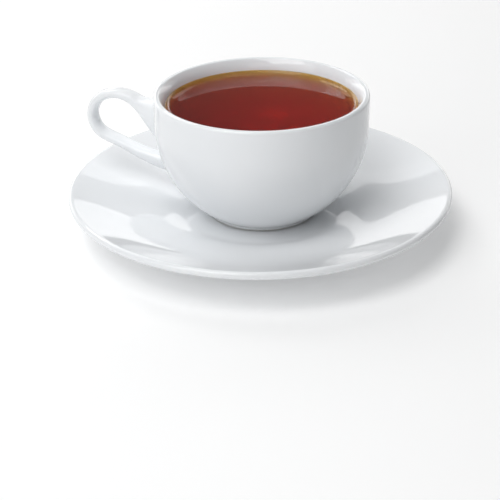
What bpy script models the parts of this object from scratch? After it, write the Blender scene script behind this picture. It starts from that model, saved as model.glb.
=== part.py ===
"""White porcelain teacup with an ear-shaped strap handle, filled with tea, standing on its saucer.

Lengths are in metres and +Z is up. The origin is the centre of the saucer's base, and the handle points
along -X. Everything but the handle is a turned shape. The cup stands slightly off the saucer's centre.
"""

from math import cos, pi, radians, sin, sqrt, tau

import bmesh
import bpy
import numpy as np

MM = 0.001
GAP = 0.3 * MM  # between pieces that rest on or fill one another

# Saucer, heights above the table
SAUCER_RADIUS = 82.0 * MM
SAUCER_EDGE = 3.0 * MM  # thickness of the rounded edge
SAUCER_EDGE_HEIGHT = 17.0 * MM  # middle of the rounded edge
SAUCER_SLOPE = 19.0  # degrees, just inside the edge
WELL_HEIGHT = 7.0 * MM  # the flat that the cup stands on
WELL_RADIUS = 30.5 * MM
SAUCER_FOOT_RADIUS = 45.0 * MM  # outside of the foot ring
SAUCER_FOOT_WIDTH = 3.4 * MM
SAUCER_FOOT_DEPTH = 2.6 * MM  # from the base to the underside inside the ring

# Cup, depths below its rim and heights above its own foot
CUP_RADIUS = 45.0 * MM  # outside of the rim
CUP_HEIGHT = 53.0 * MM
CUP_SHIFT = 1.1 * MM  # along +X from the saucer's centre
LIP = 2.8 * MM  # wall thickness at the rounded lip
LIP_TURN = 139.0  # degrees round the lip's section, from the outside up and over to the inner wall
LIP_TAPER = 4  # exponent with which the wall thins towards the lip
WALL_DEPTH = 13.5 * MM  # upright wall above the half-round bowl
INNER_RADIUS = 39.6 * MM  # inside, where the upright wall meets the bowl
CUP_FOOT_RADIUS = 23.6 * MM
CUP_FOOT_WIDTH = 3.0 * MM
CUP_FOOT_DEPTH = 1.8 * MM  # recess under the cup
FLOOR_THICKNESS = 3.8 * MM
INNER_FULLNESS = 2.4  # exponent of the inner bowl: 2 is an ellipse, more is fuller

# Tea
TEA_DEPTH = 6.8 * MM  # surface below the rim

# Handle: matching points of its outer and inner outline, as distance from the cup's axis and depth below
# the rim, from the upper joint round to the lower one. The first and last pairs lie inside the wall.
HANDLE_OUTLINES = [
    ((40.4, 8.8), (40.2, 32.0)),
    ((49.8, 8.4), (50.6, 22.8)),
    ((54.8, 7.7), (54.7, 16.3)),
    ((58.6, 6.2), (59.2, 11.4)),
    ((64.2, 5.3), (64.2, 9.4)),
    ((74.8, 8.3), (72.0, 11.5)),
    ((79.9, 17.8), (75.7, 17.8)),
    ((76.8, 26.4), (73.8, 23.5)),
    ((67.1, 31.2), (65.5, 27.4)),
    ((58.0, 35.3), (56.4, 30.7)),
    ((50.1, 38.7), (48.8, 32.5)),
    ((33.0, 42.8), (37.6, 34.4)),
]
HANDLE_HALF_WIDTH = 3.75 * MM
HANDLE_FLATNESS = 0.85  # exponent of the strap's section: 1 is an ellipse, less is squarer
HANDLE_FILLET = 3.0 * MM  # where the strap spreads on to the wall
HANDLE_ROOT = 1.3 * MM  # how deep its ends sit in the wall

TURN_STEPS = 64
HANDLE_RINGS = 34
HANDLE_SIDES = 14

CUP_BASE = WELL_HEIGHT + GAP
RIM_HEIGHT = CUP_BASE + CUP_HEIGHT
BOWL_CENTRE = RIM_HEIGHT - WALL_DEPTH
LIP_START_RADIUS = CUP_RADIUS - LIP / 2 * (1 - cos(radians(LIP_TURN)))
LIP_START_HEIGHT = RIM_HEIGHT - LIP / 2 * (1 - sin(radians(LIP_TURN)))
INNER_FLOOR = CUP_BASE + CUP_FOOT_DEPTH + FLOOR_THICKNESS


def clear_scene():
    for obj in list(bpy.data.objects):
        bpy.data.objects.remove(obj, do_unlink=True)


def collection(name):
    made = bpy.data.collections.new(name)
    bpy.context.scene.collection.children.link(made)
    return made


def material(name, color, roughness, ior=1.5):
    made = bpy.data.materials.new(name)
    made.use_nodes = True
    made.diffuse_color = (*color, 1.0)
    shader = made.node_tree.nodes["Principled BSDF"]
    shader.inputs["Base Color"].default_value = (*color, 1.0)
    shader.inputs["Roughness"].default_value = roughness
    shader.inputs["Metallic"].default_value = 0.0
    shader.inputs["IOR"].default_value = ior
    return made


def arc(centre_r, centre_z, radius, start, end, count):
    """Points of a round stretch from one angle to another, in degrees from +X towards +Z."""
    angles = np.radians(np.linspace(start, end, count))
    return [(centre_r + radius * cos(a), centre_z + radius * sin(a)) for a in angles]


def smooth_curve(knots, places):
    """Natural cubic spline through the knots, read at places from 0 to 1 of their chord length."""
    knots = np.asarray(knots, float)
    along = np.concatenate([[0.0], np.cumsum(np.linalg.norm(np.diff(knots, axis=0), axis=1))])
    step = np.diff(along)
    count = len(knots)
    system = np.eye(count)
    target = np.zeros_like(knots)
    for i in range(1, count - 1):
        system[i, i - 1 : i + 2] = step[i - 1], 2 * (step[i - 1] + step[i]), step[i]
        rise, fall = knots[i + 1] - knots[i], knots[i] - knots[i - 1]
        target[i] = 6 * (rise / step[i] - fall / step[i - 1])
    bend = np.linalg.solve(system, target)
    where = np.asarray(places, float) * along[-1]
    i = np.clip(np.searchsorted(along, where) - 1, 0, count - 2)
    h = step[i][:, None]
    before = (along[i + 1] - where)[:, None]
    after = (where - along[i])[:, None]
    cubic = (bend[i] * before**3 + bend[i + 1] * after**3) / (6 * h)
    line = (knots[i] / h - bend[i] * h / 6) * before + (knots[i + 1] / h - bend[i + 1] * h / 6) * after
    return cubic + line


def turned(name, profile, finish, home, shift=0.0):
    """A solid of revolution about an axis at shift. Its profile runs from the axis down the outer side."""
    mesh = bpy.data.meshes.new(name)
    points = [(r, 0.0, z) for r, z in profile]
    mesh.from_pydata(points, [(i, i + 1) for i in range(len(points) - 1)], [])
    obj = bpy.data.objects.new(name, mesh)
    obj.location.x = shift
    home.objects.link(obj)
    mesh.materials.append(finish)
    screw = obj.modifiers.new("Turn", "SCREW")
    screw.axis = "Z"
    screw.angle = tau
    screw.steps = screw.render_steps = TURN_STEPS
    screw.use_merge_vertices = True
    screw.merge_threshold = 0.01 * MM
    screw.use_smooth_shade = True
    return obj


def inner_radius(height):
    """Radius of the cup's inner surface at a height above the table."""
    if height >= BOWL_CENTRE:
        share = (height - BOWL_CENTRE) / (LIP_START_HEIGHT - BOWL_CENTRE)
        return INNER_RADIUS + (LIP_START_RADIUS - INNER_RADIUS) * share**LIP_TAPER
    share = min(1.0, (BOWL_CENTRE - height) / (BOWL_CENTRE - INNER_FLOOR))
    return INNER_RADIUS * (1 - share**INNER_FULLNESS) ** (1 / INNER_FULLNESS)


def inner_bowl(inset, count):
    """Points of the inner bowl from the axis up to the wall, moved in from the surface by inset."""
    points = []
    for i in range(count):
        turn = pi / 2 * i / (count - 1)
        height = BOWL_CENTRE - (BOWL_CENTRE - INNER_FLOOR) * cos(turn) ** (2 / INNER_FULLNESS)
        points.append((max(0.0, inner_radius(height) - inset * sin(turn)), height + inset * cos(turn)))
    return points


def cup_profile():
    """Up the inside, over the lip, down the outside and round the foot ring to the axis."""
    lip = LIP / 2
    heights = np.linspace(BOWL_CENTRE, LIP_START_HEIGHT, 8)[1:-1]
    inside = inner_bowl(0.0, 13) + [(inner_radius(height), height) for height in heights]
    rim = arc(CUP_RADIUS - lip, RIM_HEIGHT - lip, lip, LIP_TURN, 0, 8)
    # the bowl ends where it meets the foot ring
    meet = CUP_FOOT_RADIUS + 0.6 * MM
    bottom = -np.degrees(np.arccos(meet / CUP_RADIUS))
    bowl = arc(0.0, BOWL_CENTRE, CUP_RADIUS, 0.0, bottom, 15)
    outer, inner = CUP_FOOT_RADIUS, CUP_FOOT_RADIUS - CUP_FOOT_WIDTH
    edge = 0.5 * MM
    foot = [
        (outer, CUP_BASE + 2 * edge),
        (outer, CUP_BASE + edge),
        (outer - edge, CUP_BASE),
        (inner + edge, CUP_BASE),
        (inner, CUP_BASE + edge),
        (inner - edge, CUP_BASE + CUP_FOOT_DEPTH),
        (0.0, CUP_BASE + CUP_FOOT_DEPTH),
    ]
    return inside + rim + bowl + foot


def tea_profile():
    level = RIM_HEIGHT - TEA_DEPTH
    edge = inner_radius(level) - GAP
    return [(0.0, level), (edge, level)] + inner_bowl(GAP, 12)[::-1]


def saucer_profile():
    """Across the well and the rising bowl, round the edge, back underneath and over the foot ring."""
    half = SAUCER_EDGE / 2
    edge_r = SAUCER_RADIUS - half
    edge = arc(edge_r, SAUCER_EDGE_HEIGHT, half, 90 + SAUCER_SLOPE, SAUCER_SLOPE - 90, 9)
    upper = smooth_curve(
        [
            (WELL_RADIUS, WELL_HEIGHT),
            (WELL_RADIUS + 3.5 * MM, WELL_HEIGHT + 0.25 * MM),
            (WELL_RADIUS + 8.5 * MM, WELL_HEIGHT + 1.4 * MM),
            (57.0 * MM, 11.5 * MM),
            (70.0 * MM, 15.0 * MM),
            edge[0],
        ],
        np.linspace(0, 1, 12),
    )
    outer, inner = SAUCER_FOOT_RADIUS, SAUCER_FOOT_RADIUS - SAUCER_FOOT_WIDTH
    side = 0.6 * MM
    under = smooth_curve(
        [
            edge[-1],
            (70.0 * MM, 11.2 * MM),
            (57.0 * MM, 7.1 * MM),
            (outer + 3.0 * MM, 4.2 * MM),
            (outer + side, 3.0 * MM),
        ],
        np.linspace(0, 1, 8),
    )[1:]
    foot = [
        (outer, 2.2 * MM),
        (outer - side, 0.0),
        (inner + side, 0.0),
        (inner - side, SAUCER_FOOT_DEPTH),
        (0.0, SAUCER_FOOT_DEPTH),
    ]
    return [(0.0, WELL_HEIGHT), *upper, *edge[1:], *under, *foot]


def wall_distance(point):
    """Distance out from the cup's outer surface, and the direction straight out of it."""
    x, y, z = point
    from_centre = np.array([x, y, min(0.0, z - BOWL_CENTRE)])
    reach = np.linalg.norm(from_centre)
    return reach - CUP_RADIUS, from_centre / reach


def strap_point(row, turn):
    """A point of the strap's section: row holds the outer and the inner outline, turn goes round it."""
    across, along = cos(turn), sin(turn)
    across = abs(across) ** HANDLE_FLATNESS * (1 if across > 0 else -1)
    along = abs(along) ** HANDLE_FLATNESS * (1 if along > 0 else -1)
    middle, half = (row[:2] + row[2:]) / 2, (row[:2] - row[2:]) / 2
    r, depth = middle + half * across
    return np.array([-r, along * HANDLE_HALF_WIDTH, RIM_HEIGHT - depth])


def spread(point, middle):
    """Moves a point near the wall away from the strap's middle, so that the strap ends in a fillet."""
    distance, out = wall_distance(point)
    lift = distance + 0.4 * MM
    if lift >= HANDLE_FILLET:
        return point
    away = point - middle
    away -= out * (away @ out)
    reach = HANDLE_FILLET - sqrt(HANDLE_FILLET**2 - (HANDLE_FILLET - max(lift, 0.0)) ** 2)
    moved = point + away / np.linalg.norm(away) * reach
    off, out = wall_distance(moved)
    return moved - out * (off - distance)


def handle_lines():
    """One line of points for each side of the strap, from the wall at one joint to the wall at the other."""
    rows = [np.array([*outer, *inner]) * MM for outer, inner in HANDLE_OUTLINES]
    fine = np.linspace(0, 1, 600)
    track = smooth_curve(rows, fine)
    places = (1 - np.cos(np.linspace(0, pi, HANDLE_RINGS))) / 2  # closer together at the joints
    lines = []
    for side in range(HANDLE_SIDES):
        turn = tau * side / HANDLE_SIDES
        far = [wall_distance(strap_point(row, turn))[0] for row in track]
        outside = [i for i, distance in enumerate(far) if distance > 0]
        first, last = fine[outside[0]], fine[outside[-1]]
        line = []
        for row in smooth_curve(rows, first + (last - first) * places):
            middle = (row[:2] + row[2:]) / 2
            line.append(spread(strap_point(row, turn), np.array([-middle[0], 0.0, RIM_HEIGHT - middle[1]])))
        roots = [end - wall_distance(end)[1] * HANDLE_ROOT for end in (line[0], line[-1])]
        lines.append([roots[0], *line, roots[1]])
    return lines


def handle(home):
    """The strap, a loft between unlike sections, closed inside the wall at both ends."""
    shape = bmesh.new()
    rings = [[shape.verts.new(point) for point in ring] for ring in zip(*handle_lines())]
    for ring, following in zip(rings, rings[1:]):
        for i in range(HANDLE_SIDES):
            j = (i + 1) % HANDLE_SIDES
            shape.faces.new((ring[i], ring[j], following[j], following[i]))
    shape.faces.new(rings[0][::-1])
    shape.faces.new(rings[-1])
    bmesh.ops.recalc_face_normals(shape, faces=shape.faces)
    mesh = bpy.data.meshes.new("handle_form")
    shape.to_mesh(mesh)
    shape.free()
    mesh.shade_smooth()
    obj = bpy.data.objects.new("handle_form", mesh)
    obj.location.x = CUP_SHIFT
    obj.hide_render = True
    obj.display_type = "WIRE"
    home.objects.link(obj)
    return obj


def join(target, piece):
    union = target.modifiers.new("Join " + piece.name, "BOOLEAN")
    union.operation = "UNION"
    union.solver = "EXACT"
    union.object = piece


def build():
    clear_scene()
    parts = collection("cup_of_tea")
    forms = collection("cup_of_tea_forms")
    glaze = (0.86, 0.87, 0.88)
    cup = turned("cup", cup_profile(), material("cup_porcelain", glaze, 0.12), parts, CUP_SHIFT)
    join(cup, handle(forms))
    turned("saucer", saucer_profile(), material("saucer_porcelain", glaze, 0.12), parts)
    infusion = material("tea", (0.23, 0.045, 0.012), 0.04, ior=1.33)
    turned("tea", tea_profile(), infusion, parts, CUP_SHIFT)


build()
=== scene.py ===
"""The looks of a cup of tea: glazed white porcelain, clear black tea and soft studio light.

Lengths are in metres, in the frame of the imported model: +Z up, the handle along -X.
"""

from math import acos, cos, degrees, exp, pi, radians, sin, sqrt, tau

import bmesh
import bpy
import numpy as np
from mathutils import Matrix, Vector


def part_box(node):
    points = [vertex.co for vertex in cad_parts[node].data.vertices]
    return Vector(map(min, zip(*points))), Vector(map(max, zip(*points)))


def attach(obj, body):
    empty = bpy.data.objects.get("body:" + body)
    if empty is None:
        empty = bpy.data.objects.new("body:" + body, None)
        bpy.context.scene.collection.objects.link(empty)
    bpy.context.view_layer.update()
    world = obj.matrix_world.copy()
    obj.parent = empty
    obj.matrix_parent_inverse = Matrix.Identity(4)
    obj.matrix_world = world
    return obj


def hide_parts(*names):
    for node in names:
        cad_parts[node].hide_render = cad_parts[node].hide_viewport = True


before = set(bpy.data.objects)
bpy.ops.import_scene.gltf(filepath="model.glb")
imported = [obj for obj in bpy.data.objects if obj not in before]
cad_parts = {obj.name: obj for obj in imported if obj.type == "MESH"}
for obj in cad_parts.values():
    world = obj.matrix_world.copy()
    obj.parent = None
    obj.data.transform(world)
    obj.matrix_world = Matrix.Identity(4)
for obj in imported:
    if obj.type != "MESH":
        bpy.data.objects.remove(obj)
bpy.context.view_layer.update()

MM = 0.001

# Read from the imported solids
CUP_LOW, CUP_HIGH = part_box("cup")
SAUCER_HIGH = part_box("saucer")[1]
TEA_LOW, TEA_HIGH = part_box("tea")
CUP_X = (TEA_LOW.x + TEA_HIGH.x) / 2  # the cup stands a little off the saucer's axis
CUP_BASE = CUP_LOW.z
RIM_HEIGHT = CUP_HIGH.z
CUP_RADIUS = CUP_HIGH.y
TEA_LEVEL = TEA_HIGH.z
SAUCER_RADIUS = SAUCER_HIGH.x

# Cup
LIP = 2.8 * MM
LIP_TURN = 139.0  # degrees round the lip's section, from the outside up and over to the inner wall
LIP_TAPER = 4  # power with which the inner wall leans out towards the lip
WALL_DEPTH = 13.5 * MM
INNER_RADIUS = 39.6 * MM
CUP_FOOT_RADIUS = 23.6 * MM
CUP_FOOT_WIDTH = 3.0 * MM
CUP_FOOT_DEPTH = 1.8 * MM
CUP_FOOT_ROUNDING = 0.5 * MM
BOWL_OVER_FOOT = 0.6 * MM  # how far outside the foot ring the bowl's curve ends
FLOOR_THICKNESS = 3.8 * MM
INNER_FLOOR = CUP_BASE + CUP_FOOT_DEPTH + FLOOR_THICKNESS
INNER_FULLNESS = 2.4  # 2 is a round bowl, more is a fuller one
BOWL_CENTRE = RIM_HEIGHT - WALL_DEPTH
LIP_START_RADIUS = CUP_RADIUS - LIP / 2 * (1 - cos(radians(LIP_TURN)))
LIP_START_HEIGHT = RIM_HEIGHT - LIP / 2 * (1 - sin(radians(LIP_TURN)))

# Saucer
SAUCER_EDGE = 3.0 * MM
SAUCER_EDGE_HEIGHT = SAUCER_HIGH.z - SAUCER_EDGE / 2
SAUCER_SLOPE = 19.0  # degrees, at the edge
WELL_HEIGHT = 7.0 * MM
WELL_RADIUS = 30.5 * MM
SAUCER_FOOT_RADIUS = 45.0 * MM
SAUCER_FOOT_WIDTH = 3.4 * MM
SAUCER_FOOT_DEPTH = 2.6 * MM
SAUCER_FOOT_ROUNDING = 0.6 * MM
# Radius and height of points on the upper surface, out to the edge, and on the lower one, back from it
SAUCER_UPPER = [
    (WELL_RADIUS - 4.0 * MM, WELL_HEIGHT),
    (WELL_RADIUS, WELL_HEIGHT),
    (WELL_RADIUS + 3.5 * MM, WELL_HEIGHT + 0.25 * MM),
    (WELL_RADIUS + 8.5 * MM, WELL_HEIGHT + 1.4 * MM),
    (57.0 * MM, 11.5 * MM),
    (70.0 * MM, 15.0 * MM),
]
SAUCER_UNDER = [
    (70.0 * MM, 11.2 * MM),
    (57.0 * MM, 7.1 * MM),
    (SAUCER_FOOT_RADIUS + 3.0 * MM, 4.2 * MM),
    (SAUCER_FOOT_RADIUS + SAUCER_FOOT_ROUNDING, 3.0 * MM),
    (SAUCER_FOOT_RADIUS, 2.2 * MM),
]

# Tea
MENISCUS_RISE = 2.0 * MM
MENISCUS_REACH = 1.2 * MM
INTO_WALL = 0.4 * MM
TEA_IOR = 1.335
TEA_TINT = (1.0, 0.66, 0.17, 1.0)
# Each metre absorbs red, green and blue at a rate of the density times what the color lacks of 1
TEA_DEPTH_COLOR = (0.862, 0.21, 0.032, 1.0)
TEA_DENSITY = 62.0

# Handle: matching points of its outer and inner outline in millimetres, as distance from the cup's axis
# and depth below the rim, from the upper joint to the lower one. The end pairs lie inside the wall.
HANDLE_OUTLINES = [
    ((40.4, 8.8), (40.2, 32.0)),
    ((49.8, 8.4), (50.6, 22.8)),
    ((54.8, 7.7), (54.7, 16.3)),
    ((58.6, 6.2), (59.2, 11.4)),
    ((64.2, 5.3), (64.2, 9.4)),
    ((74.8, 8.3), (72.0, 11.5)),
    ((79.9, 17.8), (75.7, 17.8)),
    ((76.8, 26.4), (73.8, 23.5)),
    ((67.1, 31.2), (65.5, 27.4)),
    ((58.0, 35.3), (56.4, 30.7)),
    ((50.1, 38.7), (48.8, 32.5)),
    ((33.0, 42.8), (37.6, 34.4)),
]
HANDLE_HALF_WIDTH = 3.75 * MM
HANDLE_FLATNESS = 0.85  # power of the section's superellipse, where 1 is a plain ellipse
HANDLE_FILLET = 3.2 * MM
HANDLE_ROOT = 0.05 * MM  # how far its ends reach into the wall

# The bare underside of a foot ring: height above its base, and how far its faces turn down
BARE_HEIGHT = 0.4 * MM
BARE_FACING = -0.3

TURN_STEPS = 240
MERGE_DISTANCE = 0.005 * MM
HANDLE_RINGS = 130
HANDLE_SIDES = 60
HANDLE_SEARCH_STEPS = 900  # places along the handle where the search for the wall looks

# The photograph's camera, seen from the centre of the cup's rim
CAMERA_TURN = 18.0  # degrees round the cup and away from the handle, from where that points straight left
CAMERA_ELEVATION = 20.33
CAMERA_ROLL = -0.56
CAMERA_DISTANCE = 0.5216
NEAREST_SEEN = 0.01
PICTURE = 500  # pixels on a side
FOCAL_PIXELS = 1246.85
RIM_CENTRE_PIXEL = (261.56, 91.4)
SENSOR = 36.0  # millimetres wide

FLOOR_SIZE = 8.0
FLOOR_GLOW = 0.17
WHITE = (1.0, 1.0, 1.0, 1.0)
ROOM_COLOR = (0.95, 0.98, 1.0, 1.0)
ROOM_STRENGTH = 0.055
# Name, degrees round the cup from the picture's left towards its back, degrees up, width and height
# in metres, watts
SOFTBOXES = [
    ("key", -50, 62, (0.6, 0.6), 3.95),
    ("front_left", -45, 36, (0.85, 0.75), 3.2),
    ("front", -90, 36, (0.5, 0.4), 0.75),
    ("top", 90, 88, (0.9, 0.9), 1.1),
    ("top_back", 90, 65, (0.5, 0.4), 0.7),
    ("back", 90, 38, (0.9, 0.38), 1.25),
    ("back_left", 50, 42, (0.4, 0.4), 1.8),
    ("backdrop", 90, 9.5, (2.4, 0.26), 2.7),
    ("backdrop_left", 52, 14, (0.9, 0.24), 0.75),
    ("backdrop_right", 125, 14, (0.9, 0.24), 0.52),
    ("backdrop_top", 90, 25, (2.4, 0.28), 0.26),
]


def smooth_curve(knots, places):
    """Natural cubic spline through the knots, read at places from 0 to 1 of their chord length."""
    knots = np.asarray(knots, float)
    along = np.concatenate([[0.0], np.cumsum(np.linalg.norm(np.diff(knots, axis=0), axis=1))])
    step = np.diff(along)
    count = len(knots)
    system = np.eye(count)
    target = np.zeros_like(knots)
    for i in range(1, count - 1):
        system[i, i - 1 : i + 2] = step[i - 1], 2 * (step[i - 1] + step[i]), step[i]
        rise, fall = knots[i + 1] - knots[i], knots[i] - knots[i - 1]
        target[i] = 6 * (rise / step[i] - fall / step[i - 1])
    bend = np.linalg.solve(system, target)
    where = np.asarray(places, float) * along[-1]
    i = np.clip(np.searchsorted(along, where) - 1, 0, count - 2)
    h = step[i][:, None]
    before = (along[i + 1] - where)[:, None]
    after = (where - along[i])[:, None]
    cubic = (bend[i] * before**3 + bend[i + 1] * after**3) / (6 * h)
    line = (knots[i] / h - bend[i] * h / 6) * before + (knots[i + 1] / h - bend[i + 1] * h / 6) * after
    return cubic + line


def arc(centre_r, centre_z, radius, start, end, count):
    """Points of a round stretch from one angle to another, in degrees from +X towards +Z."""
    angles = np.radians(np.linspace(start, end, count))
    return [(centre_r + radius * cos(a), centre_z + radius * sin(a)) for a in angles]


def turned(name, profile, axis_x=0.0):
    """A mesh of revolution. The profile starts on the axis, above, and ends on it below."""
    line = bpy.data.meshes.new(name + "_profile")
    edges = [(i, i + 1) for i in range(len(profile) - 1)]
    line.from_pydata([(r, 0.0, z) for r, z in profile], edges, [])
    obj = bpy.data.objects.new(name, line)
    bpy.context.scene.collection.objects.link(obj)
    screw = obj.modifiers.new("Turn", "SCREW")
    screw.axis = "Z"
    screw.angle = tau
    screw.steps = screw.render_steps = TURN_STEPS
    screw.use_merge_vertices = True
    screw.merge_threshold = MERGE_DISTANCE
    evaluated = obj.evaluated_get(bpy.context.evaluated_depsgraph_get())
    mesh = bpy.data.meshes.new_from_object(evaluated)
    obj.modifiers.clear()
    obj.data = mesh
    bpy.data.meshes.remove(line)
    mesh.name = name
    mesh.transform(Matrix.Translation((axis_x, 0.0, 0.0)))
    mesh.shade_smooth()
    return obj


def inner_radius(height):
    """Radius of the cup's inner surface at a height above the table."""
    if height >= BOWL_CENTRE:
        share = (height - BOWL_CENTRE) / (LIP_START_HEIGHT - BOWL_CENTRE)
        return INNER_RADIUS + (LIP_START_RADIUS - INNER_RADIUS) * share**LIP_TAPER
    share = min(1.0, (BOWL_CENTRE - height) / (BOWL_CENTRE - INNER_FLOOR))
    return INNER_RADIUS * (1 - share**INNER_FULLNESS) ** (1 / INNER_FULLNESS)


def inner_bowl(inset, count):
    """Points of the inner bowl from the axis up to the wall, moved in from the surface by inset."""
    points = []
    for i in range(count):
        turn = pi / 2 * i / (count - 1)
        height = BOWL_CENTRE - (BOWL_CENTRE - INNER_FLOOR) * cos(turn) ** (2 / INNER_FULLNESS)
        radius = inner_radius(height) - inset * sin(turn)
        points.append((max(0.0, radius) if i else 0.0, height + inset * cos(turn)))
    return points


def foot_ring(outer, width, base, depth, edge):
    """Down round a foot ring of an outer radius, up into the recess inside it and in to the axis."""
    inner = outer - width
    under = arc(outer - edge, base + edge, edge, 0, -90, 7)
    inside = arc(inner + edge, base + edge, edge, -90, -180, 7)
    recess = arc(inner - 2 * edge, base + depth - 2 * edge, 2 * edge, 0, 90, 7)
    return [*under, *inside, *recess, (0.0, base + depth)]


def cup_profile():
    """Up the inside, over the lip, down the outside and round the foot ring to the axis."""
    lip = LIP / 2
    heights = np.linspace(BOWL_CENTRE, LIP_START_HEIGHT, 30)[1:-1]
    inside = inner_bowl(0.0, 40) + [(inner_radius(height), height) for height in heights]
    rim = arc(CUP_RADIUS - lip, RIM_HEIGHT - lip, lip, LIP_TURN, 0, 22)
    steps = 8
    wall = [(CUP_RADIUS, RIM_HEIGHT - lip - (WALL_DEPTH - lip) * i / steps) for i in range(1, steps)]
    meet = CUP_FOOT_RADIUS + BOWL_OVER_FOOT
    bowl = arc(0.0, BOWL_CENTRE, CUP_RADIUS, 0.0, -degrees(acos(meet / CUP_RADIUS)), 60)
    edge = CUP_FOOT_ROUNDING
    side = [(CUP_FOOT_RADIUS, CUP_BASE + 2 * edge), (CUP_FOOT_RADIUS, CUP_BASE + edge)]
    foot = smooth_curve([bowl[-1], *side], np.linspace(0, 1, 8))
    ring = foot_ring(CUP_FOOT_RADIUS, CUP_FOOT_WIDTH, CUP_BASE, CUP_FOOT_DEPTH, edge)
    return [*inside, *rim, *wall, *bowl, *foot[1:], *ring[1:]]


def saucer_profile():
    """Across the well and the rising bowl, round the edge, back underneath and over the foot ring."""
    half = SAUCER_EDGE / 2
    edge = arc(SAUCER_RADIUS - half, SAUCER_EDGE_HEIGHT, half, 90 + SAUCER_SLOPE, SAUCER_SLOPE - 90, 25)
    upper = smooth_curve([*SAUCER_UPPER, edge[0]], np.linspace(0, 1, 80))
    under = smooth_curve([edge[-1], *SAUCER_UNDER], np.linspace(0, 1, 50))
    ring = foot_ring(
        SAUCER_FOOT_RADIUS, SAUCER_FOOT_WIDTH, 0.0, SAUCER_FOOT_DEPTH, SAUCER_FOOT_ROUNDING
    )
    return [(0.0, WELL_HEIGHT), *upper, *edge[1:], *under[1:], *ring]


def tea_profile():
    """The surface with its rise at the wall, then down inside the wall's thickness to the floor."""
    shore = TEA_LEVEL + MENISCUS_RISE
    edge = inner_radius(shore)
    surface = [(0.0, TEA_LEVEL)]
    for share in np.linspace(0.0, 1.0, 90)[1:] ** 0.5:
        r = edge * share
        surface.append((r, TEA_LEVEL + MENISCUS_RISE * exp((r - edge) / MENISCUS_REACH)))
    heights = np.linspace(shore, BOWL_CENTRE, 16)[:-1]
    side = [(inner_radius(height) + INTO_WALL, height) for height in heights]
    return [*surface, *side, *inner_bowl(-INTO_WALL, 30)[::-1]]


def wall_distance(point):
    """Distance out from the cup's outer surface, and the direction straight out of it."""
    x, y, z = point
    from_centre = np.array([x, y, min(0.0, z - BOWL_CENTRE)])
    reach = np.linalg.norm(from_centre)
    return reach - CUP_RADIUS, from_centre / reach


def strap_point(row, turn):
    """A point of the strap's section, and the direction straight out of the section's outline there.

    The row holds the outer and the inner outline, and turn goes round the section.
    """
    sides = [(abs(v), 1 if v > 0 else -1) for v in (cos(turn), sin(turn))]
    across, along = [sign * size**HANDLE_FLATNESS for size, sign in sides]
    facing_across, facing_along = [sign * size ** (2 - HANDLE_FLATNESS) for size, sign in sides]
    middle, half = (row[:2] + row[2:]) / 2, (row[:2] - row[2:]) / 2
    r, depth = middle + half * across
    away_r, away_depth = half * facing_across / (half @ half)
    away = np.array([-away_r, facing_along / HANDLE_HALF_WIDTH, -away_depth])
    return np.array([-r, along * HANDLE_HALF_WIDTH, RIM_HEIGHT - depth]), away


def spread(point, away):
    """Moves a point near the wall out from the strap, so that the strap ends in a fillet."""
    distance, out = wall_distance(point)
    if distance >= HANDLE_FILLET:
        return point
    away = away - out * (away @ out)
    reach = HANDLE_FILLET - sqrt(HANDLE_FILLET**2 - (HANDLE_FILLET - max(distance, 0.0)) ** 2)
    moved = point + away / np.linalg.norm(away) * reach
    off, out = wall_distance(moved)
    return moved - out * (off - distance)


def handle_rings():
    """Rings of the strap from the wall at the upper joint to the wall at the lower one."""
    rows = [np.array([*outer, *inner]) * MM for outer, inner in HANDLE_OUTLINES]
    fine = np.linspace(0, 1, HANDLE_SEARCH_STEPS)
    track = smooth_curve(rows, fine)
    places = (1 - np.cos(np.linspace(0, pi, HANDLE_RINGS))) / 2
    lines = []
    for side in range(HANDLE_SIDES):
        turn = tau * side / HANDLE_SIDES
        far = np.array([wall_distance(strap_point(row, turn)[0])[0] for row in track])
        outside = np.flatnonzero(far > 0)
        first, last = outside[0], outside[-1]
        start = np.interp(0.0, far[first - 1 : first + 1], fine[first - 1 : first + 1])
        stop = np.interp(0.0, far[[last + 1, last]], fine[[last + 1, last]])
        outside_rows = smooth_curve(rows, start + (stop - start) * places)
        line = [spread(*strap_point(row, turn)) for row in outside_rows]
        roots = [end - wall_distance(end)[1] * HANDLE_ROOT for end in (line[0], line[-1])]
        lines.append([roots[0], *line, roots[1]])
    return list(zip(*lines))


def add_handle(cup):
    """Lofts the strap into the cup's mesh, with its ends closed inside the wall, as one piece."""
    shape = bmesh.new()
    shape.from_mesh(cup.data)
    cup_axis = Vector((CUP_X, 0, 0))
    rings = [[shape.verts.new(Vector(p) + cup_axis) for p in ring] for ring in handle_rings()]
    for ring, following in zip(rings, rings[1:]):
        for i in range(HANDLE_SIDES):
            j = (i + 1) % HANDLE_SIDES
            shape.faces.new((ring[i], ring[j], following[j], following[i]))
    for ring in (rings[0], rings[-1]):
        heart = shape.verts.new(sum((vert.co for vert in ring), Vector()) / HANDLE_SIDES)
        for i in range(HANDLE_SIDES):
            shape.faces.new((ring[i], ring[(i + 1) % HANDLE_SIDES], heart))
    bmesh.ops.recalc_face_normals(shape, faces=shape.faces)
    shape.to_mesh(cup.data)
    shape.free()
    cup.data.shade_smooth()


# Most values of the noise lie between these
NOISE_LOW, NOISE_HIGH = 0.3, 0.7
# Sockets of the Mix node that carry colors
MIX_FIRST, MIX_SECOND, MIX_RESULT = 6, 7, 2


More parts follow.
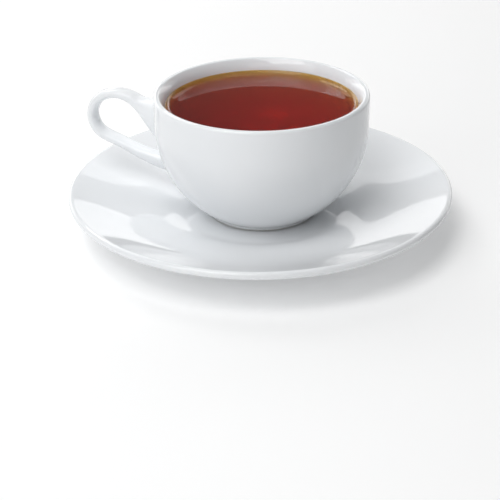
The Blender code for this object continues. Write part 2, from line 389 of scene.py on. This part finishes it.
class Nodes:
    """A material's node tree, with the few steps that these materials are built from."""

    def __init__(self, name):
        self.material = bpy.data.materials.new(name)
        self.material.use_nodes = True
        self.tree = self.material.node_tree
        self.shader = self.tree.nodes["Principled BSDF"]
        self.output = self.tree.nodes["Material Output"]

    def add(self, kind, **settings):
        node = self.tree.nodes.new(kind)
        for key, value in settings.items():
            if key in node.inputs:
                node.inputs[key].default_value = value
            else:
                setattr(node, key, value)
        return node

    def link(self, source, target):
        self.tree.links.new(source, target)

    def set(self, **values):
        for key, value in values.items():
            self.shader.inputs[key.replace("_", " ")].default_value = value

    def noise(self, scale, detail=2.0):
        """Noise in the object's own space, in features for each metre."""
        where = self.add("ShaderNodeTexCoord")
        noise = self.add("ShaderNodeTexNoise", Scale=scale, Detail=detail)
        self.link(where.outputs["Object"], noise.inputs["Vector"])
        return noise.outputs["Fac"]

    def between(self, noise, low, high):
        """The noise, over the part of its range where most of it lies, carried to low and high."""
        span = self.add("ShaderNodeMapRange")
        limits = {"From Min": NOISE_LOW, "From Max": NOISE_HIGH, "To Min": low, "To Max": high}
        for key, value in limits.items():
            span.inputs[key].default_value = value
        self.link(noise, span.inputs["Value"])
        return span.outputs["Result"]

    def blend(self, factor, first, second):
        """From the first color to the second as the factor goes from 0 to 1."""
        mix = self.add("ShaderNodeMix", data_type="RGBA")
        mix.inputs[MIX_FIRST].default_value = (*first, 1.0)
        mix.inputs[MIX_SECOND].default_value = (*second, 1.0)
        self.link(factor, mix.inputs["Factor"])
        return mix.outputs[MIX_RESULT]

    def color(self, noise, first, second):
        """A base color that drifts between two with the noise."""
        blend = self.blend(self.between(noise, 0.0, 1.0), first, second)
        self.link(blend, self.shader.inputs["Base Color"])

    def roughness(self, noise, low, high):
        """A roughness that drifts between two with the noise."""
        self.link(self.between(noise, low, high), self.shader.inputs["Roughness"])

    def bump(self, height, strength, distance):
        bump = self.add("ShaderNodeBump", Strength=strength, Distance=distance)
        self.link(height, bump.inputs["Height"])
        self.link(bump.outputs["Normal"], self.shader.inputs["Normal"])


def glazed_porcelain(name):
    """White body under a clear, slightly uneven glaze."""
    made = Nodes(name)
    made.set(IOR=1.52)
    made.color(made.noise(22.0), (0.865, 0.885, 0.905), (0.895, 0.91, 0.925))
    made.roughness(made.noise(60.0, 3.0), 0.03, 0.07)
    made.bump(made.noise(130.0, 2.0), 0.06, 0.3 * MM)
    return made.material


def bare_porcelain(name):
    """Unglazed, finely ground porcelain of a foot ring."""
    made = Nodes(name)
    made.set(IOR=1.5)
    made.color(made.noise(400.0, 4.0), (0.66, 0.63, 0.58), (0.77, 0.75, 0.71))
    made.roughness(made.noise(900.0, 3.0), 0.5, 0.75)
    made.bump(made.noise(2500.0, 3.0), 0.4, 0.1 * MM)
    return made.material


def clear_tea(name):
    """Clear infusion: amber where it is shallow, deep red-brown where light goes far through it."""
    made = Nodes(name)
    made.set(IOR=TEA_IOR, Transmission_Weight=1.0, Base_Color=TEA_TINT)
    made.roughness(made.noise(35.0), 0.0, 0.02)
    depth = made.add("ShaderNodeVolumeAbsorption", Color=TEA_DEPTH_COLOR, Density=TEA_DENSITY)
    made.link(depth.outputs["Volume"], made.output.inputs["Volume"])
    return made.material


def leave_bare(obj, finish, axis_x, base, outer, width):
    """Gives the underside of a foot ring, found by its radius and height, the bare finish."""
    obj.data.materials.append(finish)
    for face in obj.data.polygons:
        r = sqrt((face.center.x - axis_x) ** 2 + face.center.y ** 2)
        on_ring = outer - width <= r <= outer and face.center.z < base + BARE_HEIGHT
        if on_ring and face.normal.z < BARE_FACING:
            face.material_index = len(obj.data.materials) - 1


def in_picture_frame(x, y, z):
    """A point given right of, behind and above the centre of the cup's rim as the camera sees it."""
    turn = radians(CAMERA_TURN)
    right, away = Vector((cos(turn), sin(turn), 0)), Vector((-sin(turn), cos(turn), 0))
    return Vector((CUP_X, 0, RIM_HEIGHT)) + right * x + away * y + Vector((0, 0, z))


def add_camera():
    """Stands where the photograph's camera stood, with the rim's centre on its pixel."""
    data = bpy.data.cameras.new("camera")
    data.sensor_width = SENSOR
    data.lens = FOCAL_PIXELS / PICTURE * SENSOR
    data.clip_start = NEAREST_SEEN
    camera = bpy.data.objects.new("camera", data)
    bpy.context.scene.collection.objects.link(camera)
    rise, roll = radians(CAMERA_ELEVATION), radians(CAMERA_ROLL)
    centre = in_picture_frame(0, 0, 0)
    place = in_picture_frame(0, -CAMERA_DISTANCE * cos(rise), CAMERA_DISTANCE * sin(rise))
    towards = (centre - place).normalized()
    level = in_picture_frame(1, 0, 0) - centre
    above = level.cross(towards)
    right = level * cos(roll) + above * sin(roll)
    up = above * cos(roll) - level * sin(roll)
    across = (RIM_CENTRE_PIXEL[0] - PICTURE / 2) / FOCAL_PIXELS
    down = (RIM_CENTRE_PIXEL[1] - PICTURE / 2) / FOCAL_PIXELS
    forward = (towards - right * across + up * down).normalized()
    right = (right - forward * right.dot(forward)).normalized()
    up = right.cross(forward)
    turn = Matrix((right, up, -forward)).transposed().to_4x4()
    camera.matrix_world = Matrix.Translation(place) @ turn
    bpy.context.scene.camera = camera


def add_softbox(name, around, rise, size, power):
    """A soft box a metre from the cup and turned to it, placed as the list of them says."""
    data = bpy.data.lights.new(name, "AREA")
    data.shape = "RECTANGLE"
    data.size, data.size_y = size
    data.energy = power
    light = bpy.data.objects.new(name, data)
    bpy.context.scene.collection.objects.link(light)
    turn, up = radians(around), radians(rise)
    centre = in_picture_frame(0, 0, 0)
    light.location = in_picture_frame(-cos(up) * cos(turn), cos(up) * sin(turn), sin(up))
    light.rotation_euler = (light.location - centre).to_track_quat("Z", "Y").to_euler()


def add_floor():
    """A plain pale floor."""
    bpy.ops.mesh.primitive_plane_add(size=FLOOR_SIZE)
    floor = bpy.context.object
    floor.name = "floor"
    made = Nodes("floor")
    made.color(made.noise(3.0), (0.85, 0.85, 0.85), (0.87, 0.87, 0.87))
    made.set(Roughness=0.9, Emission_Color=WHITE, Emission_Strength=FLOOR_GLOW)
    floor.data.materials.append(made.material)


def light_the_room():
    """A faint even light from all round, and the soft boxes."""
    world = bpy.data.worlds.new("room")
    bpy.context.scene.world = world
    world.use_nodes = True
    back = world.node_tree.nodes["Background"]
    back.inputs["Color"].default_value = ROOM_COLOR
    back.inputs["Strength"].default_value = ROOM_STRENGTH
    for softbox in SOFTBOXES:
        add_softbox(*softbox)


def build():
    """The three pieces, each in the place of its node."""
    glaze = glazed_porcelain("glazed_porcelain")
    bare = bare_porcelain("bare_porcelain")

    teacup = turned("teacup", cup_profile(), CUP_X)
    add_handle(teacup)
    teacup.data.materials.append(glaze)
    leave_bare(teacup, bare, CUP_X, CUP_BASE, CUP_FOOT_RADIUS, CUP_FOOT_WIDTH)

    saucer = turned("saucer_dish", saucer_profile())
    saucer.data.materials.append(glaze)
    leave_bare(saucer, bare, 0.0, 0.0, SAUCER_FOOT_RADIUS, SAUCER_FOOT_WIDTH)

    liquid = turned("tea_liquid", tea_profile(), CUP_X)
    liquid.data.materials.append(clear_tea("black_tea"))

    for piece, node, finish in (
        (teacup, "cup", "cup_porcelain"),
        (saucer, "saucer", "saucer_porcelain"),
        (liquid, "tea", "tea"),
    ):
        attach(piece, "root")
        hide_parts(node)


build()
add_floor()
light_the_room()
add_camera()
bpy.context.scene.view_settings.view_transform = "Standard"
bpy.context.scene.view_settings.look = "None"
